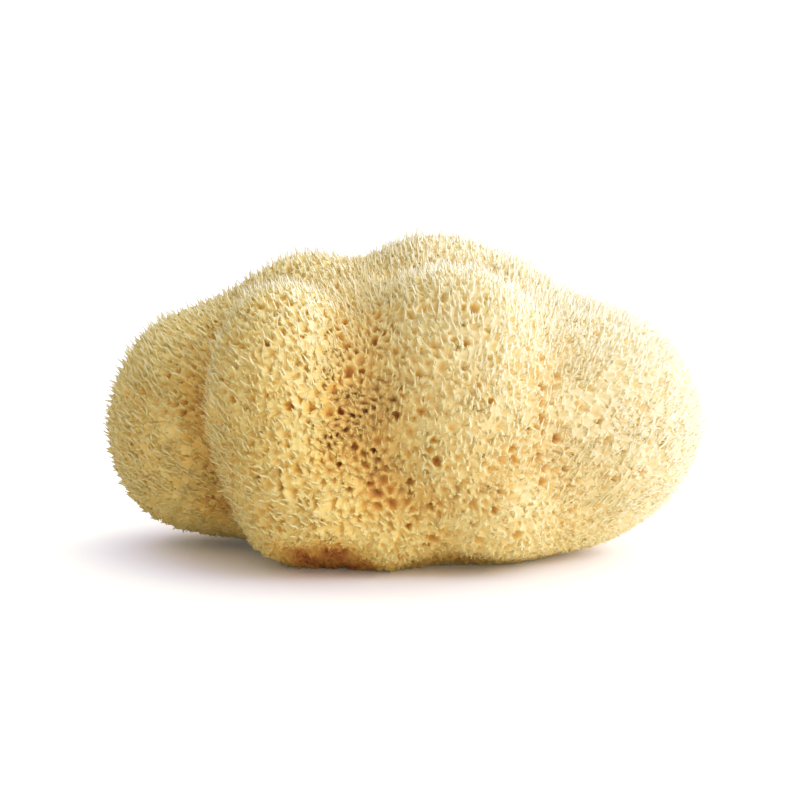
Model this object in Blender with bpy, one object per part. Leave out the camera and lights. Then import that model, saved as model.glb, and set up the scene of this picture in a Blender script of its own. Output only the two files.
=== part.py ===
"""A natural bath sea sponge, as dried and trimmed: one lobed solid with an open-celled skin.

Metres, +Z up. The sponge lies on the flat face where it was cut from the rock, at z = 0 and centred
above the origin, with its long side along X and its two large front lobes towards -Y.
"""

import math
import random

import bmesh
import bpy
import numpy as np
from mathutils import Vector, kdtree, noise

MM = 0.001

LENGTH = 140 * MM
DEPTH = 97 * MM
HEIGHT = 73.5 * MM

# The point that every cell of the sponge grew away from.
HEART = Vector((0, 4, 30)) * MM

# Each lobe is an ellipsoid: centre and half-sizes, in millimetres.
LOBES = {
    "core": ((2, 6, 33), (48, 36, 31)),
    "base": ((5, 4, 10), (47, 33, 14)),
    "left": ((-45.5, 11, 28), (25, 27, 26)),
    "left_shoulder": ((-40, 15, 39.5), (21, 22, 17)),
    "front_left": ((-26.5, -19, 38), (16.5, 25.5, 25.5)),
    "front_left_foot": ((-20.5, -21, 17), (17, 21, 18.5)),
    "front_middle": ((-8, -11, 31), (17, 24, 25)),
    "front_middle_foot": ((-3, -19, 11), (16, 18.5, 13)),
    "front_right": ((12, -16, 36.5), (24, 27, 30.5)),
    "front_right_foot": ((18, -16, 14), (20, 22.5, 15)),
    "front_right_side": ((33, -8, 28), (20, 22.5, 24)),
    "top_left": ((-22, 15, 44.5), (23, 20, 25)),
    "top_right": ((11.5, 18, 44.5), (31, 25, 26.5)),
    "top_right_brow": ((3, 19, 58), (13, 14, 13)),
    "right": ((43, 3, 29.5), (27, 31.5, 25.5)),
    "right_shoulder": ((37, 7, 38), (23, 26, 18.5)),
    "back_left": ((-26, 27, 30), (24.5, 20, 25)),
    "back_middle": ((8, 33, 29), (21, 17, 25)),
    "back_right": ((38, 25, 30), (24.5, 20, 24)),
}
# Ellipsoids too, scooped out where the knife left the sponge clear of the ground.
HOLLOWS = {
    "under_front_left": ((-18, -38, -4), (14, 12, 11)),
    "under_front_right": ((16, -31, -6), (16, 12, 9)),
}
# How widely the lobes melt into each other, and how far the form swells between them.
LOBE_BLEND = 2.8
SWELL = 1.6
SWELL_LENGTH = 19.0

# The open cells of the skin. A cell is a pit, and where three of its walls meet, they end in a tip.
CELL_GAP = 3.7 * MM
CANDIDATES = 50000
PIT_DEPTH = 2.7 * MM
TIP_RISE = 1.0 * MM
SEED = 7
# Corners this near the flat cut are moved onto it, so that it leaves no slivers.
SLIVER = 0.5 * MM

# Rays are followed from outside the sponge towards its heart.
RAY_START = 110.0
RAY_STEPS = 90
RAY_EASE = 0.7

SPONGE_COLOUR = (0.86, 0.68, 0.36, 1)


def outside(points, ellipsoid):
    """Roughly how far points lie outside an ellipsoid, in millimetres."""
    centre, sizes = np.array(ellipsoid, float)
    offset = points - centre
    near = np.linalg.norm(offset / sizes, axis=1)
    slope = np.maximum(np.linalg.norm(offset / sizes**2, axis=1), 1e-9)
    return near * (near - 1) / slope


def outside_form(points):
    """Roughly how far points lie outside the melted lobes, less the hollows, in millimetres."""
    lobes = [np.exp(-outside(points, lobe) / LOBE_BLEND) for lobe in LOBES.values()]
    gap = -LOBE_BLEND * np.log(np.maximum(sum(lobes), 1e-30))
    for hollow in HOLLOWS.values():
        gap = LOBE_BLEND * np.logaddexp(gap / LOBE_BLEND, -outside(points, hollow) / LOBE_BLEND)
    return gap


def onto_form(places):
    """The points, in metres, moved along their lines from the heart onto the sponge's outer form."""
    heart = np.array(HEART) / MM
    directions = np.array([(place - HEART).normalized() for place in places])
    reach = np.full(len(directions), RAY_START)
    for _ in range(RAY_STEPS):
        reach -= RAY_EASE * outside_form(heart + directions * reach[:, None])
    for i, direction in enumerate(directions):
        reach[i] += SWELL * noise.noise(Vector(heart + direction * reach[i]) / SWELL_LENGTH)
    return [Vector(point) * MM for point in heart + directions * reach[:, None]]


def golden_spiral(count):
    """Points spread evenly over the unit sphere."""
    turn = math.pi * (3 - math.sqrt(5))
    for i in range(count):
        z = 1 - (2 * i + 1) / count
        flat = math.sqrt(1 - z * z)
        yield Vector((flat * math.cos(turn * i), flat * math.sin(turn * i), z))


def scattered_pits():
    """Points on the form for the middles of the cells: irregular, but never crowded."""
    many = list(golden_spiral(CANDIDATES))
    random.Random(SEED).shuffle(many)
    half_sizes = Vector((LENGTH, DEPTH, HEIGHT)) / 2
    places = onto_form([HEART + point * half_sizes for point in many])
    tree = kdtree.KDTree(len(places))
    for index, place in enumerate(places):
        tree.insert(place, index)
    tree.balance()
    crowded = [False] * len(places)
    kept = []
    for index, place in enumerate(places):
        if crowded[index]:
            continue
        kept.append(place)
        for _, near, _ in tree.find_range(place, CELL_GAP):
            crowded[near] = True
    return kept


def celled_surface(pits):
    """A closed mesh on the form with a ring of triangles round each pit, and the set of its pits."""
    bm = bmesh.new()
    on_ball = [bm.verts.new((pit - HEART).normalized()) for pit in pits]
    bmesh.ops.convex_hull(bm, input=on_ball)
    for vert, pit in zip(on_ball, pits):
        vert.co = pit
    bmesh.ops.beautify_fill(bm, faces=bm.faces[:], edges=bm.edges[:], method="ANGLE")
    between_pits = bm.edges[:]
    bmesh.ops.poke(bm, faces=bm.faces[:])
    bmesh.ops.rotate_edges(bm, edges=between_pits)
    return bm, set(on_ball)


def press_pits(bm, pits):
    """Moves the corners onto the form, then the pits into it, and the tips out of it by chance."""
    chance = random.Random(SEED)
    for vert, place in zip(bm.verts, onto_form([vert.co for vert in bm.verts])):
        vert.co = place
    bmesh.ops.recalc_face_normals(bm, faces=bm.faces[:])
    bm.normal_update()
    for vert in bm.verts:
        outward = (vert.co - HEART).normalized() + 2 * vert.normal
        outward.normalize()
        if vert in pits:
            vert.co -= outward * PIT_DEPTH * chance.uniform(0.8, 1.2)
        else:
            vert.co += outward * TIP_RISE * chance.random()


def drop_crumbs(bm):
    """Deletes the tips that the cut has parted from the sponge."""
    crown = max(bm.verts, key=lambda vert: vert.co.z)
    body = {crown}
    searched = [crown]
    while searched:
        vert = searched.pop()
        for edge in vert.link_edges:
            other = edge.other_vert(vert)
            if other not in body:
                body.add(other)
                searched.append(other)
    crumbs = [vert for vert in bm.verts if vert not in body]
    bmesh.ops.delete(bm, geom=crumbs, context="VERTS")


def cut_flat(bm):
    """The face where the sponge was cut from the rock."""
    for vert in bm.verts:
        if abs(vert.co.z) < SLIVER:
            vert.co.z = 0
    everything = bm.verts[:] + bm.edges[:] + bm.faces[:]
    bmesh.ops.bisect_plane(bm, geom=everything, plane_no=(0, 0, -1), clear_outer=True)
    drop_crumbs(bm)
    bmesh.ops.holes_fill(bm, edges=[edge for edge in bm.edges if edge.is_boundary])


def centre_above_origin(bm):
    xs = [vert.co.x for vert in bm.verts]
    ys = [vert.co.y for vert in bm.verts]
    middle = Vector((min(xs) + max(xs), min(ys) + max(ys), 0)) / 2
    bmesh.ops.translate(bm, verts=bm.verts[:], vec=-middle)


def sponge_mesh():
    bm, pits = celled_surface(scattered_pits())
    press_pits(bm, pits)
    cut_flat(bm)
    centre_above_origin(bm)
    bmesh.ops.recalc_face_normals(bm, faces=bm.faces[:])
    mesh = bpy.data.meshes.new("sponge")
    bm.to_mesh(mesh)
    bm.free()
    return mesh


def sponge_material():
    material = bpy.data.materials.new("dried_sponge")
    material.use_nodes = True
    shader = material.node_tree.nodes["Principled BSDF"]
    shader.inputs["Base Color"].default_value = SPONGE_COLOUR
    shader.inputs["Roughness"].default_value = 0.85
    shader.inputs["Metallic"].default_value = 0
    return material


def main():
    for obj in list(bpy.data.objects):
        bpy.data.objects.remove(obj)
    collection = bpy.data.collections.new("sea_sponge")
    bpy.context.scene.collection.children.link(collection)
    sponge = bpy.data.objects.new("sponge", sponge_mesh())
    sponge.data.materials.append(sponge_material())
    collection.objects.link(sponge)


main()
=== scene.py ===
"""The looks of the dried bath sea sponge: its open-celled skin, its strands, the light and the view."""

import math

import bmesh
import bpy
import numpy as np
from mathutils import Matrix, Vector, kdtree, noise


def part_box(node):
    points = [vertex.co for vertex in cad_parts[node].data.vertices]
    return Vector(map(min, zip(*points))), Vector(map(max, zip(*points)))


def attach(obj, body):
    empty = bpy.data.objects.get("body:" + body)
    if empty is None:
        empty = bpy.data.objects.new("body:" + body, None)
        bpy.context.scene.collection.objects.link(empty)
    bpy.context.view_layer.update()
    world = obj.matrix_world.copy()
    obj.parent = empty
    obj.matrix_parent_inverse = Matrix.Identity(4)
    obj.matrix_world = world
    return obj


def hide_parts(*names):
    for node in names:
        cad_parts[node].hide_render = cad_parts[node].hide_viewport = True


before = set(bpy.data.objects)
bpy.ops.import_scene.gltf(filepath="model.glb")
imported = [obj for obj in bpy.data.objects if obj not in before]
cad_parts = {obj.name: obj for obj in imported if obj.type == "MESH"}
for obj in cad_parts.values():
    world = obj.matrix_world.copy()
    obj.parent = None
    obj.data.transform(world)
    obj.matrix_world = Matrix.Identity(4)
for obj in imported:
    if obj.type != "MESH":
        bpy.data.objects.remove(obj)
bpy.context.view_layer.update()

MM = 0.001
SEED = 11

# The form, as in the solid: ellipsoids with centre and half-sizes in millimetres, melted together.
HEART = np.array((0.0, 4.0, 30.0))
LOBES = {
    "core": ((2, 6, 33), (48, 36, 31)),
    "base": ((5, 4, 10), (47, 33, 14)),
    "left": ((-45.5, 11, 28), (25, 27, 26)),
    "left_shoulder": ((-40, 15, 39.5), (21, 22, 17)),
    "front_left": ((-26.5, -19, 38), (16.5, 25.5, 25.5)),
    "front_left_foot": ((-20.5, -21, 17), (17, 21, 18.5)),
    "front_middle": ((-8, -11, 31), (17, 24, 25)),
    "front_middle_foot": ((-3, -19, 11), (16, 18.5, 13)),
    "front_right": ((12, -16, 36.5), (24, 27, 30.5)),
    "front_right_foot": ((18, -16, 14), (20, 22.5, 15)),
    "front_right_side": ((33, -8, 28), (20, 22.5, 24)),
    "top_left": ((-22, 15, 44.5), (23, 20, 25)),
    "top_right": ((11.5, 18, 44.5), (31, 25, 26.5)),
    "top_right_brow": ((3, 19, 58), (13, 14, 13)),
    "right": ((43, 3, 29.5), (27, 31.5, 25.5)),
    "right_shoulder": ((37, 7, 38), (23, 26, 18.5)),
    "back_left": ((-26, 27, 30), (24.5, 20, 25)),
    "back_middle": ((8, 33, 29), (21, 17, 25)),
    "back_right": ((38, 25, 30), (24.5, 20, 24)),
}
HOLLOWS = {
    "under_front_left": ((-18, -38, -4), (14, 12, 11)),
    "under_front_right": ((16, -31, -6), (16, 12, 9)),
}
LOBE_BLEND = 2.8
SWELL = 1.6
SWELL_LENGTH = 19.0
RAY_START = 110.0
RAY_STEPS = 90
RAY_EASE = 0.7

# The fine cells of the skin: how far apart their pits are, in millimetres, and from which gap on a pit
# gets a ring of wall.
CANDIDATES = 80000
CELL_GAP = 1.85
SMALLEST_GAP = 1.15
LARGEST_GAP = 2.3
WIDE_PIT = 1.7
# The cells are finer in the folds. A point's surroundings to this reach tell whether it is in one.
VALLEY_REACH = 9.0
FOLD_BLEND = 7.0
FOLD_FINER = 0.28
# Where along a rim, from tip to tip, its own points lie.
RIM_PLACES = np.array((0.25, 0.75))

# Where the knife trimmed the sponge next to its flat face, it is smoother; its colour there is painted darker
# as shade on these down-facing facets.
TRIMS = (((-19, -38, -1), (17, 18, 11)), ((24, -34, -4), (20, 14, 8)))
TRIM_PAINTED_SHADE = 3.4
# Painted shade: the colour darkens next to the ground, up to FOOT_HEIGHT, where the sponge sits on the floor.
FOOT_PAINTED_SHADE = 1.0
FOOT_HEIGHT = 5.0
# The sponge draws in by this share of its width where it meets the ground.
DRAWN_IN = 0.08

# The strands that stand on the skin fan out from a point near the foot, and lean upwards, out of the
# folds, and with a sway that changes along the skin.
FAN_MIDDLE = np.array((18.0, 5.0, 2.0))
FAN = 1.1
OUTWARD = 0.3
UPWARD = 0.8
LEAN = 0.25
SWAY = 0.6
SWAY_LENGTH = 13.0
# This share of the rims bears a strand too.
STRANDS_ON_RIMS = 0.5
# The strands' cross-sections: their sides, and their places and widths from the root to the point.
STRAND_SIDES = 3
STRAND_SHARES = (0.0, 0.15, 0.4, 0.72)
STRAND_WIDTHS = (1.0, 0.62, 0.42, 0.27)
# The skin and the strands are parted into this many pieces, so that none has too many faces.
SKIN_PIECES = 4
STRAND_PIECES = 3

# The sponge's golden colour with painted light and shade, from the strands' pale ends to painted shade at the
# floors of the deepest pits.
COLOURS_WITH_PAINTED_SHADE = (
    (0.0, (0.9, 0.785, 0.45)),
    (0.2, (0.885, 0.735, 0.355)),
    (0.38, (0.88, 0.685, 0.28)),
    (0.55, (0.84, 0.54, 0.155)),
    (0.75, (0.68, 0.33, 0.08)),
    (1.0, (0.4, 0.11, 0.03)),
)
PAINTED_SHADE_DEPTHS = (-1.6, 6.0)
# Towards this way, the right and the top where the light falls, the colour is painted paler as painted light,
# from none at the first distance to the most at the second.
PAINTED_LIGHT_TOWARDS = (1.3, 0.1, 1.0)
PAINTED_LIGHT_DISTANCES = (0.0, 0.12)
PAINTED_LIGHT_MOST = 0.42
PAINTED_LIGHT_COLOUR = (0.93, 0.875, 0.63, 1)

CAMERA_TARGET = Vector((-0.0005, 0, 0.0352))
CAMERA_DISTANCE = 0.4435
CAMERA_TILT = math.radians(6.5)

# How bright the studio is from its sides, from overhead and from its right. It is darker at its left.
SKY_SIDES = 0.5
SKY_LEFT = -0.09
SKY_TOP = 0.54
SKY_RIGHT = 1.8
KEY_WATTS = 1.1
RIM_WATTS = 3.6
# The floor's own glow, which hides its end, next to the sponge and away from it.
FLOOR_GLOW = (0.05, 0.6)
GLOW_DISTANCES = (0.045, 0.1)
# How the picture answers to light: highlights that pale before they clip.
RESPONSE = ((0.0, 0.0), (0.1, 0.1), (0.3, 0.32), (0.6, 0.65), (0.85, 0.88), (1.0, 1.0))
BLUE_RESPONSE = ((0.0, 0.0), (0.1, 0.09), (0.25, 0.26), (0.5, 0.58), (0.75, 0.83), (1.0, 1.0))
RESPONSE_WHITE = 1.05

rng = np.random.default_rng(SEED)


def unit(vectors):
    return vectors / np.maximum(np.linalg.norm(vectors, axis=1), 1e-12)[:, None]


def smoothstep(low, high, x):
    t = np.clip((x - low) / (high - low), 0, 1)
    return t * t * (3 - 2 * t)


def outside(points, ellipsoid):
    """Roughly how far points lie outside an ellipsoid, in millimetres."""
    centre, sizes = np.array(ellipsoid, float)
    offset = points - centre
    near = np.linalg.norm(offset / sizes, axis=1)
    slope = np.maximum(np.linalg.norm(offset / sizes**2, axis=1), 1e-9)
    return near * (near - 1) / slope


def outside_form(points, blend=LOBE_BLEND):
    """Roughly how far points lie outside the melted lobes, less the hollows, in millimetres."""
    lobes = [np.exp(-outside(points, lobe) / blend) for lobe in LOBES.values()]
    gap = -blend * np.log(np.maximum(sum(lobes), 1e-30))
    for hollow in HOLLOWS.values():
        gap = blend * np.logaddexp(gap / blend, -outside(points, hollow) / blend)
    return gap


def noise_at(points, length, shift=0.0):
    return np.array([noise.noise(Vector(point)) for point in points / length + shift])


def onto_form(points, reach=None, steps=RAY_STEPS):
    """Moves points along their lines from the heart onto the form, and says which are on the flat cut."""
    lines = points - HEART
    lines /= np.linalg.norm(lines, axis=1)[:, None]
    reach = np.full(len(lines), RAY_START) if reach is None else reach.copy()
    for _ in range(steps):
        reach -= RAY_EASE * outside_form(HEART + lines * reach[:, None])
    reach += SWELL * noise_at(HEART + lines * reach[:, None], SWELL_LENGTH)
    to_cut = np.where(lines[:, 2] < -1e-6, -HEART[2] / np.minimum(lines[:, 2], -1e-6), np.inf)
    cut = to_cut < reach
    return HEART + lines * np.minimum(reach, to_cut)[:, None], cut


def slope_of_form(points):
    step = 0.4
    slope = np.stack([
        outside_form(points + step * axis) - outside_form(points - step * axis) for axis in np.eye(3)
    ], axis=1)
    return slope / np.linalg.norm(slope, axis=1)[:, None]


def trimmed_at(points):
    """How far points lie within the trimmed places, from 0 to 1, with a ragged border."""
    depth = -np.min([outside(points, trim) for trim in TRIMS], axis=0)
    return smoothstep(-0.5, 6.5, depth + 3 * noise_at(points, 4.0, 60.0))


def painted_shade_at(points):
    """How far down the ramp, in millimetres, the colour of points is pushed as painted shade on the trimmed
    facets and next to the ground.
    """
    return TRIM_PAINTED_SHADE * trimmed_at(points) + FOOT_PAINTED_SHADE * (1 - smoothstep(0.0, FOOT_HEIGHT, points[:, 2]))


def golden_spiral(count):
    i = np.arange(count)
    z = 1 - (2 * i + 1) / count
    flat = np.sqrt(1 - z * z)
    turn = math.pi * (3 - math.sqrt(5)) * i
    return np.stack([flat * np.cos(turn), flat * np.sin(turn), z], axis=1)


def scatter_tree(points):
    tree = kdtree.KDTree(len(points))
    for index, point in enumerate(points):
        tree.insert(point, index)
    tree.balance()
    return tree


def scattered_pits():
    """The middles of the cells, whether each is on the flat cut, and the gap kept round each."""
    many = HEART + golden_spiral(CANDIDATES)[rng.permutation(CANDIDATES)] * (70, 48.5, 37)
    places, cut = onto_form(many)
    gaps = CELL_GAP * (1 + 0.3 * noise_at(places, 9.0) + 0.6 * noise_at(places, 3.2, 40.0))
    # A form with wider melts fills the folds most, so how far it stands out tells where they are.
    filled = np.argsort(np.argsort(-outside_form(places, FOLD_BLEND))) / len(places)
    gaps *= 1 - FOLD_FINER * smoothstep(0.6, 0.95, filled)
    gaps = np.clip(gaps, SMALLEST_GAP, LARGEST_GAP)
    tree = scatter_tree(places)
    crowded = np.zeros(len(places), bool)
    kept = []
    for index, place in enumerate(places):
        if crowded[index]:
            continue
        kept.append(index)
        for _, near, _ in tree.find_range(place, gaps[index]):
            crowded[near] = True
    return places[kept], cut[kept], gaps[kept]


def triangles_between(pits):
    """The corners of the triangles that join neighbouring pits, in the order that faces them outwards."""
    bm = bmesh.new()
    lines = pits - HEART
    lines /= np.linalg.norm(lines, axis=1)[:, None]
    for line in lines:
        bm.verts.new(line)
    bm.verts.index_update()
    bmesh.ops.convex_hull(bm, input=bm.verts[:])
    for vert, pit in zip(bm.verts, pits):
        vert.co = pit
    bmesh.ops.beautify_fill(bm, faces=bm.faces[:], edges=bm.edges[:], method="ANGLE")
    corners = np.array([[vert.index for vert in face.verts] for face in bm.faces])
    bm.free()
    a, b, c = (lines[corners[:, k]] for k in range(3))
    inward = np.einsum("ij,ij->i", np.cross(b - a, c - a), a) < 0
    corners[inward] = corners[inward][:, ::-1]
    return corners


def valley_at(pits, normals):
    """For each pit, 0 on crests to 1 in folds, and the direction towards the nearest crest."""
    tree = scatter_tree(pits)
    hollow = np.zeros(len(pits))
    around = []
    for index, pit in enumerate(pits):
        near = [found[1] for found in tree.find_range(pit, VALLEY_REACH)]
        around.append(near)
        hollow[index] = (pits[near].mean(axis=0) - pit) @ normals[index]
    crestward = np.zeros((len(pits), 3))
    for index, near in enumerate(around):
        fall = hollow[index] - hollow[near]
        crestward[index] = (fall[:, None] * (pits[near] - pits[index])).mean(axis=0)
    return smoothstep(-0.7, 1.3, hollow), crestward


class Cells:
    """The pits, the tips between each three of them, and the rims that run from tip to tip."""

    def __init__(self):
        self.pits, self.pit_cut, self.gaps = scattered_pits()
        self.corners = triangles_between(self.pits)
        self.pit_of_half = self.corners.ravel()
        self.shape_pits()
        self.shape_tips()
        self.pair_halves()
        self.shape_rims()

    def shape_pits(self):
        slopes = slope_of_form(self.pits)
        slopes[self.pit_cut] = (0, 0, -1)
        self.valley, self.crestward = valley_at(self.pits, slopes)
        self.pit_out = unit(2 * unit(self.pits - HEART) + 2 * slopes)
        chance = rng.uniform(0.7, 1.3, len(self.pits))
        self.depth = (0.75 + 0.5 * self.gaps + 0.6 * self.valley) * chance * (1 - 0.2 * trimmed_at(self.pits))
        pores = rng.random(len(self.pits)) < 0.12 + 0.5 * self.valley
        self.depth[pores] += np.minimum(rng.gamma(2.0, 0.5, pores.sum()), 2.2)
        self.floor = self.pits - self.pit_out * self.depth[:, None]

    def shape_tips(self):
        middles = self.pits[self.corners].mean(axis=1)
        count = len(middles)
        middles += rng.normal(0, 0.16, (count, 3))
        start = np.linalg.norm(middles - HEART, axis=1) + 2.0
        self.tips, self.tip_cut = onto_form(middles, start, 14)
        slopes = slope_of_form(self.tips)
        slopes[self.tip_cut] = (0, 0, -1)
        self.tip_valley = self.valley[self.corners].mean(axis=1)
        sway = np.stack([noise_at(self.tips, SWAY_LENGTH, shift) for shift in (7, 31, 53)], axis=1)
        out = FAN * unit(self.tips - FAN_MIDDLE) + OUTWARD * slopes + (0, 0, UPWARD) + SWAY * sway
        out += LEAN * self.crestward[self.corners].mean(axis=1)
        facing = np.einsum("ij,ij->i", unit(out), slopes)
        out += slopes * np.maximum(0.7 - facing, 0)[:, None]
        out[self.tip_cut] = (0, 0, -1)
        self.tip_out = unit(out)
        self.rise = -rng.uniform(0.3, 0.8, count) * smoothstep(0.0, 3.0, self.tips[:, 2])
        self.rise += 0.6 * smoothstep(0.2, 0.9, slopes[:, 2])
        self.rise[self.tip_cut] = 0
        self.peaks = self.tips + slopes * self.rise[:, None]

    def pair_halves(self):
        """A half is one triangle's side of the line between two pits: half 3t + k starts at corner k."""
        ends = np.stack([self.corners, np.roll(self.corners, -1, axis=1)], axis=2).reshape(-1, 2)
        order = np.lexsort((ends.max(axis=1), ends.min(axis=1)))
        self.rim_halves = order.reshape(-1, 2)
        self.twin = np.empty(len(ends), int)
        self.twin[self.rim_halves[:, 0]] = self.rim_halves[:, 1]
        self.twin[self.rim_halves[:, 1]] = self.rim_halves[:, 0]
        self.rim_of_half = np.empty(len(ends), int)
        self.rim_of_half[self.rim_halves] = np.arange(len(self.rim_halves))[:, None]

    def shape_rims(self):
        """The points along each rim, from its first tip to its second, sagging between them."""
        one, two = self.rim_halves.T // 3
        share = RIM_PLACES
        mix = share[None, :, None]
        line = (self.tips[one][:, None] * (1 - mix) + self.tips[two][:, None] * mix).reshape(-1, 3)
        start = np.linalg.norm(line - HEART, axis=1) + 1.0
        self.rim_base, cut = onto_form(line, start, 8)
        self.rim_out = slope_of_form(self.rim_base)
        self.rim_out[cut] = (0, 0, -1)
        lift = self.rise[one][:, None] * (1 - share) + self.rise[two][:, None] * share
        length = np.linalg.norm(self.tips[one] - self.tips[two], axis=1)
        sag = np.repeat(length * rng.uniform(0.1, 0.5, len(one)), len(RIM_PLACES))
        sag[cut] = 0.1
        self.rim_height = lift.ravel() - sag
        wander = rng.normal(0, 0.08, self.rim_base.shape)
        wander[cut, 2] = 0
        self.rims = self.rim_base + self.rim_out * self.rim_height[:, None] + wander


def towards(points, goals, distance):
    return points + unit(goals - points) * distance


def skin_arrays(cells):
    """Vertices, their depth below the form and their valley value, and quads and triangles with their pit."""
    halves = len(cells.pit_of_half)
    parts = len(RIM_PLACES)
    tip_of_half = np.arange(halves) // 3
    pit = cells.pit_of_half
    backward = cells.rim_halves[cells.rim_of_half, 0] == np.arange(halves)
    steps = np.arange(parts)
    rim_points = cells.rim_of_half[:, None] * parts + np.where(
        backward[:, None], steps[::-1][None, :], steps[None, :]
    )
    twin = cells.twin
    corner_before = twin // 3 * 3 + (twin % 3 + 1) % 3

    # Corner rings, one point for each pit and tip.
    corner_shoulder = cells.peaks[tip_of_half] - cells.pit_out[pit] * 0.2
    corner_shoulder = towards(corner_shoulder, cells.pits[pit], 0.42)
    corner_wall = cells.tips[tip_of_half] * 0.55 + cells.pits[pit] * 0.45
    corner_wall -= cells.pit_out[pit] * (0.6 * cells.depth[pit])[:, None]

    # Rings inside each rim, one point for each pit and rim point.
    rim_pit = np.repeat(pit, parts)
    flat = rim_points.ravel()
    inner_shoulder = cells.rims[flat] - cells.rim_out[flat] * 0.2
    inner_shoulder = towards(inner_shoulder, cells.pits[rim_pit], 0.32)
    inner_wall = cells.rim_base[flat] * 0.6 + cells.pits[rim_pit] * 0.4
    inner_wall -= cells.pit_out[rim_pit] * (0.6 * cells.depth[rim_pit])[:, None]
    inner_wall += rng.normal(0, 0.12, inner_wall.shape)

    blocks = [
        (cells.peaks, -cells.rise, cells.tip_valley),
        (cells.rims, -cells.rim_height, cells.tip_valley[cells.rim_halves[:, 0] // 3].repeat(parts)),
        (corner_shoulder, 0.2 - cells.rise[tip_of_half], cells.tip_valley[tip_of_half]),
        (corner_wall, 0.6 * cells.depth[pit], cells.valley[pit]),
        (inner_shoulder, 0.22 - cells.rim_height[flat], cells.valley[rim_pit]),
        (inner_wall, 0.6 * cells.depth[rim_pit], cells.valley[rim_pit]),
        (cells.floor, cells.depth, cells.valley),
    ]
    starts = np.cumsum([0] + [len(block[0]) for block in blocks])
    points = np.concatenate([block[0] for block in blocks])
    values = {
        "depth": np.concatenate([block[1] for block in blocks]) + painted_shade_at(points),
        "valley": np.concatenate([block[2] for block in blocks]),
    }

    def along(first, middle, last):
        return np.concatenate([first[:, None], middle, last[:, None]], axis=1)

    own = np.arange(halves)
    inner = np.arange(halves * parts).reshape(halves, parts)
    rim = along(starts[0] + twin // 3, starts[1] + rim_points, starts[0] + tip_of_half)
    shoulder = along(starts[2] + corner_before, starts[4] + inner, starts[2] + own)
    wall = along(starts[3] + corner_before, starts[5] + inner, starts[3] + own)
    floor = starts[6] + pit

    def strip(outer, lower):
        quads = np.stack([outer[:, :-1], outer[:, 1:], lower[:, 1:], lower[:, :-1]], axis=2)
        return quads.reshape(-1, 4)

    def fan(outer, middle):
        middles = np.broadcast_to(middle[:, None], outer[:, 1:].shape)
        return np.stack([outer[:, :-1], outer[:, 1:], middles], axis=2).reshape(-1, 3)

    wide = cells.gaps[pit] > WIDE_PIT
    quads = np.concatenate([strip(rim, shoulder), strip(shoulder[wide], wall[wide])])
    quad_pit = np.concatenate([pit, pit[wide]]).repeat(parts + 1)
    fans = np.concatenate([fan(shoulder[~wide], floor[~wide]), fan(wall[wide], floor[wide])])
    fan_pit = np.concatenate([pit[~wide], pit[wide]]).repeat(parts + 1)
    return points, values, quads, quad_pit, fans, fan_pit


def strand_roots(cells):
    """Where strands stand: on each tip of the skin, and smaller ones on some rims."""
    on_tips = np.flatnonzero(~cells.tip_cut & (cells.tips[:, 2] > 1.0))
    middles = cells.rims.reshape(-1, len(RIM_PLACES), 3).mean(axis=1)
    ends = cells.rim_halves // 3
    on_rims = np.flatnonzero((rng.random(len(middles)) < STRANDS_ON_RIMS) & (middles[:, 2] > 1.0))
    on_rims = on_rims[~cells.tip_cut[ends[on_rims]].any(axis=1)]
    root = np.concatenate([cells.peaks[on_tips], middles[on_rims]])
    out = np.concatenate([cells.tip_out[on_tips], cells.tip_out[ends[on_rims, 0]]])
    valley = np.concatenate([cells.tip_valley[on_tips], cells.tip_valley[ends[on_rims, 0]]])
    low = np.concatenate([-cells.rise[on_tips], np.full(len(on_rims), 0.9)])
    size = np.concatenate([np.ones(len(on_tips)), rng.uniform(0.45, 0.8, len(on_rims))])
    return root, out, valley, low, size


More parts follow.
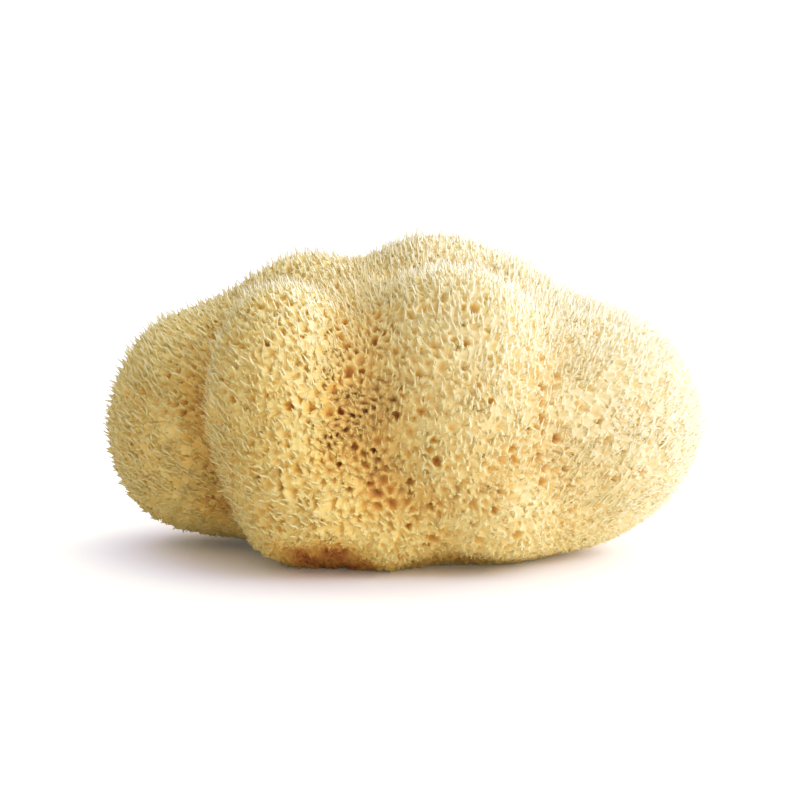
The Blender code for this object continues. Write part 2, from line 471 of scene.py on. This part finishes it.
def strand_arrays(cells):
    """Curved strands that taper to a point."""
    root, out, valley, low, size = strand_roots(cells)
    count = len(root)
    length = np.clip(rng.gamma(8.0, 0.235, count), 0.8, 3.1) * (1 - 0.25 * valley) * size
    length *= smoothstep(0.0, 4.0, root[:, 2]) * (0.55 + 0.45 * smoothstep(4.0, 16.0, root[:, 2]))
    length *= (1 - 0.75 * trimmed_at(root)) * (1 + 0.1 * smoothstep(0.2, 0.9, slope_of_form(root)[:, 2]))
    out = unit(out + rng.normal(0, 0.12, (count, 3)))
    side = unit(np.cross(out, rng.normal(0, 1, (count, 3))))
    other = np.cross(out, side)
    bend = side * (length * rng.uniform(-0.3, 0.3, count))[:, None]
    thick = rng.uniform(0.38, 0.62, count)[:, None] * size[:, None] ** 0.5
    root = root - out * 0.5
    levels = []
    for share, width in zip(STRAND_SHARES, STRAND_WIDTHS):
        middle = root + out * (length * share)[:, None] + bend * share**2
        middle += rng.normal(0, 0.17, middle.shape) * share
        ring = thick * width * rng.uniform(0.8, 1.25, (count, 1))
        for corner in range(STRAND_SIDES):
            turn = math.tau * corner / STRAND_SIDES
            levels.append(middle + (side * math.cos(turn) + other * math.sin(turn)) * ring)
    levels.append(root + out * length[:, None] + bend)
    points = np.stack(levels, axis=1)

    first = np.arange(count)[:, None] * len(levels)
    last = STRAND_SIDES * (len(STRAND_SHARES) - 1)
    quads, ends = [], []
    for corner in range(STRAND_SIDES):
        after = (corner + 1) % STRAND_SIDES
        for lower in range(0, last, STRAND_SIDES):
            higher = lower + STRAND_SIDES
            around = (corner + lower, after + lower, after + higher, corner + higher)
            quads.append(first + np.array([around]))
        ends.append(first + np.array([[corner + last, after + last, last + STRAND_SIDES]]))
    share = np.array([share for share in STRAND_SHARES for _ in range(STRAND_SIDES)] + [1.0])
    # Painted light and shade on the strands: paler towards each point and darker towards the root, with the
    # painted shade at the trims and the foot.
    depth = low[:, None] + 0.5 - 0.9 * length[:, None] * share + painted_shade_at(root)[:, None]
    values = {"depth": depth.ravel(), "valley": np.repeat(valley, len(levels))}
    return points, values, np.stack(quads, axis=1), np.stack(ends, axis=1)


def mesh_of(name, points, faces, attributes):
    """A mesh of the given faces, which are arrays of one length each, and only the points that they use."""
    used = np.unique(np.concatenate([face.ravel() for face in faces]))
    place = np.full(len(points), -1)
    place[used] = np.arange(len(used))
    sizes = np.concatenate([np.full(len(face), face.shape[1]) for face in faces])
    loops = np.concatenate([place[face].ravel() for face in faces])
    mesh = bpy.data.meshes.new(name)
    mesh.vertices.add(len(used))
    mesh.vertices.foreach_set("co", (points[used] * MM).astype(np.float32).ravel())
    mesh.loops.add(len(loops))
    mesh.loops.foreach_set("vertex_index", loops.astype(np.int32))
    mesh.polygons.add(len(sizes))
    mesh.polygons.foreach_set("loop_start", (np.cumsum(sizes) - sizes).astype(np.int32))
    mesh.update(calc_edges=True)
    mesh.validate()
    for label, values in attributes.items():
        attribute = mesh.attributes.new(label, "FLOAT", "POINT")
        attribute.data.foreach_set("value", values[used].astype(np.float32))
    mesh.shade_smooth()
    return mesh


def add_piece(name, mesh, material):
    piece = bpy.data.objects.new(name, mesh)
    bpy.context.scene.collection.objects.link(piece)
    mesh.materials.append(material)
    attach(piece, "root")
    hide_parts("sponge")
    return piece


def place_in_frame(points):
    """How far the form is moved, so that its box is centred as the solid's is."""
    low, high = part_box("sponge")
    middle = np.array((low + high) / 2) / MM
    return np.array((middle[0], middle[1], 0)) - np.array(
        ((points[:, 0].min() + points[:, 0].max()) / 2, (points[:, 1].min() + points[:, 1].max()) / 2, 0)
    )


def drawn_in(points):
    """The points, drawn in towards the upright through the middle where they are next to the ground."""
    drawn = points.copy()
    drawn[..., :2] *= 1 - DRAWN_IN * (1 - smoothstep(0.0, 4.0, points[..., 2:]))
    return drawn


def node(tree, kind, **values):
    made = tree.nodes.new(kind)
    for name, value in values.items():
        setattr(made, name, value)
    return made


def sponge_material():
    material = bpy.data.materials.new("sponge_fibre")
    material.use_nodes = True
    tree = material.node_tree
    link = tree.links.new
    shader = tree.nodes["Principled BSDF"]
    depth = node(tree, "ShaderNodeAttribute", attribute_name="depth")
    valley = node(tree, "ShaderNodeAttribute", attribute_name="valley")
    coords = node(tree, "ShaderNodeTexCoord")
    patch = node(tree, "ShaderNodeTexNoise")
    patch.inputs["Scale"].default_value = 160
    patch.inputs["Detail"].default_value = 4
    link(coords.outputs["Object"], patch.inputs["Vector"])

    # Depth in millimetres, made a little uneven and pushed on in the folds, to a place on the ramp from the
    # tips to the pits' floors: painted shade that darkens down into the pits and folds.
    uneven = node(tree, "ShaderNodeMath", operation="MULTIPLY_ADD")
    uneven.inputs[1].default_value = 1.4
    link(patch.outputs["Fac"], uneven.inputs[0])
    link(depth.outputs["Fac"], uneven.inputs[2])
    shade_in_folds = node(tree, "ShaderNodeMath", operation="MULTIPLY_ADD")
    shade_in_folds.inputs[1].default_value = 1.5
    link(valley.outputs["Fac"], shade_in_folds.inputs[0])
    link(uneven.outputs[0], shade_in_folds.inputs[2])
    along = node(tree, "ShaderNodeMapRange")
    along.inputs["From Min"].default_value = PAINTED_SHADE_DEPTHS[0]
    along.inputs["From Max"].default_value = PAINTED_SHADE_DEPTHS[1]
    link(shade_in_folds.outputs[0], along.inputs["Value"])
    ramp = node(tree, "ShaderNodeValToRGB")
    while len(ramp.color_ramp.elements) < len(COLOURS_WITH_PAINTED_SHADE):
        ramp.color_ramp.elements.new(0.5)
    for element, (position, colour) in zip(ramp.color_ramp.elements, COLOURS_WITH_PAINTED_SHADE):
        element.position = position
        element.color = (*colour, 1)
    link(along.outputs[0], ramp.inputs["Fac"])
    # The right end and the top, where the light falls, are painted paler: painted light.
    towards_light = node(tree, "ShaderNodeVectorMath", operation="DOT_PRODUCT")
    towards_light.inputs[1].default_value = PAINTED_LIGHT_TOWARDS
    link(coords.outputs["Object"], towards_light.inputs[0])
    painted_light = node(tree, "ShaderNodeMapRange")
    painted_light.inputs["From Min"].default_value = PAINTED_LIGHT_DISTANCES[0]
    painted_light.inputs["From Max"].default_value = PAINTED_LIGHT_DISTANCES[1]
    painted_light.inputs["To Max"].default_value = PAINTED_LIGHT_MOST
    link(towards_light.outputs["Value"], painted_light.inputs["Value"])
    pale = node(tree, "ShaderNodeMix", data_type="RGBA")
    pale.inputs[7].default_value = PAINTED_LIGHT_COLOUR
    link(painted_light.outputs[0], pale.inputs[0])
    link(ramp.outputs["Color"], pale.inputs[6])
    link(pale.outputs[2], shader.inputs["Base Color"])
    shader.inputs["Roughness"].default_value = 0.38
    shader.inputs["Specular IOR Level"].default_value = 0.4
    shader.inputs["Subsurface Weight"].default_value = 0.5
    shader.inputs["Subsurface Radius"].default_value = (1.0, 0.92, 0.8)
    shader.inputs["Subsurface Scale"].default_value = 0.0012

    grain = node(tree, "ShaderNodeTexNoise")
    grain.inputs["Scale"].default_value = 1600
    grain.inputs["Detail"].default_value = 3
    link(coords.outputs["Object"], grain.inputs["Vector"])
    bump = node(tree, "ShaderNodeBump")
    bump.inputs["Strength"].default_value = 0.25
    bump.inputs["Distance"].default_value = 0.0002
    link(grain.outputs["Fac"], bump.inputs["Height"])
    link(bump.outputs["Normal"], shader.inputs["Normal"])
    return material


def add_camera():
    camera = bpy.data.objects.new("camera", bpy.data.cameras.new("camera"))
    bpy.context.scene.collection.objects.link(camera)
    camera.data.lens = 85
    camera.data.sensor_width = 36
    away = Vector((0, -math.cos(CAMERA_TILT), math.sin(CAMERA_TILT)))
    camera.location = CAMERA_TARGET + CAMERA_DISTANCE * away
    camera.rotation_euler = (CAMERA_TARGET - camera.location).to_track_quat("-Z", "Y").to_euler()
    bpy.context.scene.camera = camera


def add_light(name, place, size, energy, colour=(1, 1, 1)):
    light = bpy.data.objects.new(name, bpy.data.lights.new(name, "AREA"))
    bpy.context.scene.collection.objects.link(light)
    light.data.size = size
    light.data.energy = energy
    light.data.color = colour
    light.location = place
    light.rotation_euler = (Vector((0, 0, 0.03)) - light.location).to_track_quat("-Z", "Y").to_euler()


def floor_material():
    """White, with a glow that only the camera sees and that grows with distance from the sponge."""
    material = bpy.data.materials.new("floor_white")
    material.use_nodes = True
    shader = material.node_tree.nodes["Principled BSDF"]
    shader.inputs["Base Color"].default_value = (0.92, 0.885, 0.83, 1)
    shader.inputs["Roughness"].default_value = 0.7
    shader.inputs["Emission Color"].default_value = (1, 1, 1, 1)
    tree = material.node_tree
    coords = node(tree, "ShaderNodeTexCoord")
    away = node(tree, "ShaderNodeVectorMath", operation="LENGTH")
    tree.links.new(coords.outputs["Object"], away.inputs[0])
    whiter = node(tree, "ShaderNodeMapRange", interpolation_type="SMOOTHSTEP")
    whiter.inputs["From Min"].default_value = GLOW_DISTANCES[0]
    whiter.inputs["From Max"].default_value = GLOW_DISTANCES[1]
    whiter.inputs["To Min"].default_value = FLOOR_GLOW[0]
    whiter.inputs["To Max"].default_value = FLOOR_GLOW[1]
    tree.links.new(away.outputs["Value"], whiter.inputs["Value"])
    path = node(tree, "ShaderNodeLightPath")
    glow = node(tree, "ShaderNodeMath", operation="MULTIPLY")
    tree.links.new(whiter.outputs[0], glow.inputs[0])
    tree.links.new(path.outputs["Is Camera Ray"], glow.inputs[1])
    tree.links.new(glow.outputs[0], shader.inputs["Emission Strength"])
    return material


def add_floor():
    bpy.ops.mesh.primitive_plane_add(size=6)
    floor = bpy.context.object
    floor.name = "floor"
    floor.data.materials.append(floor_material())


def add_world():
    """Soft light from all round, brighter overhead and from the right, before a white background."""
    world = bpy.data.worlds.new("world")
    bpy.context.scene.world = world
    world.use_nodes = True
    tree = world.node_tree
    link = tree.links.new
    sky = tree.nodes["Background"]
    sky.inputs["Color"].default_value = (1, 1, 1, 1)
    way = node(tree, "ShaderNodeTexCoord")
    axes = node(tree, "ShaderNodeSeparateXYZ")
    link(way.outputs["Generated"], axes.inputs[0])
    high = node(tree, "ShaderNodeMath", operation="MAXIMUM")
    high.inputs[1].default_value = 0
    link(axes.outputs["Z"], high.inputs[0])
    overhead = node(tree, "ShaderNodeMath", operation="POWER")
    overhead.inputs[1].default_value = 2
    link(high.outputs[0], overhead.inputs[0])
    right = node(tree, "ShaderNodeMath", operation="MAXIMUM")
    right.inputs[1].default_value = SKY_LEFT
    link(axes.outputs["X"], right.inputs[0])
    sides = node(tree, "ShaderNodeMath", operation="MULTIPLY_ADD")
    sides.inputs[1].default_value = SKY_RIGHT
    sides.inputs[2].default_value = SKY_SIDES
    link(right.outputs[0], sides.inputs[0])
    total = node(tree, "ShaderNodeMath", operation="MULTIPLY_ADD")
    total.inputs[1].default_value = SKY_TOP
    link(overhead.outputs[0], total.inputs[0])
    link(sides.outputs[0], total.inputs[2])
    link(total.outputs[0], sky.inputs["Strength"])
    seen = node(tree, "ShaderNodeBackground")
    seen.inputs["Color"].default_value = (1, 1, 1, 1)
    seen.inputs["Strength"].default_value = 1.5
    path = node(tree, "ShaderNodeLightPath")
    mix = node(tree, "ShaderNodeMixShader")
    link(path.outputs["Is Camera Ray"], mix.inputs["Fac"])
    link(sky.outputs[0], mix.inputs[1])
    link(seen.outputs[0], mix.inputs[2])
    link(mix.outputs[0], tree.nodes["World Output"].inputs["Surface"])


def set_response():
    view = bpy.context.scene.view_settings
    view.view_transform = "Standard"
    view.use_curve_mapping = True
    response = view.curve_mapping
    response.white_level = (RESPONSE_WHITE,) * 3
    for curve, places in ((response.curves[3], RESPONSE), (response.curves[2], BLUE_RESPONSE)):
        for place in places[1:-1]:
            curve.points.new(*place)
    response.update()


def add_studio():
    add_floor()
    add_world()
    set_response()
    add_light("key", (0.5, -0.32, 0.33), 0.35, KEY_WATTS, (1, 0.98, 0.94))
    add_light("rim", (0.5, 0.3, 0.2), 0.5, RIM_WATTS, (0.94, 0.97, 1))


def add_skin(cells, move, material):
    """The skin, parted round the upright through its middle."""
    points, values, quads, quad_pit, fans, fan_pit = skin_arrays(cells)
    points[:, 2] = np.maximum(points[:, 2], 0)
    points = drawn_in(points + move)
    turn = np.arctan2(*(cells.pits - HEART)[:, 1::-1].T) + math.pi
    part = np.argsort(np.argsort(turn)) * SKIN_PIECES // len(turn)
    for number in range(SKIN_PIECES):
        faces = [quads[part[quad_pit] == number], fans[part[fan_pit] == number]]
        name = f"skin_{number + 1}"
        add_piece(name, mesh_of(name, points, faces, values), material)


def add_strands(cells, move, material):
    points, values, quads, ends = strand_arrays(cells)
    points = drawn_in(points + move)
    part = np.arange(len(points)) * STRAND_PIECES // len(points)
    for number in range(STRAND_PIECES):
        faces = [quads[part == number].reshape(-1, 4), ends[part == number].reshape(-1, 3)]
        name = f"strands_{number + 1}"
        add_piece(name, mesh_of(name, points.reshape(-1, 3), faces, values), material)


def main():
    add_camera()
    add_studio()
    cells = Cells()
    move = place_in_frame(cells.pits)
    material = sponge_material()
    add_skin(cells, move, material)
    add_strands(cells, move, material)


main()
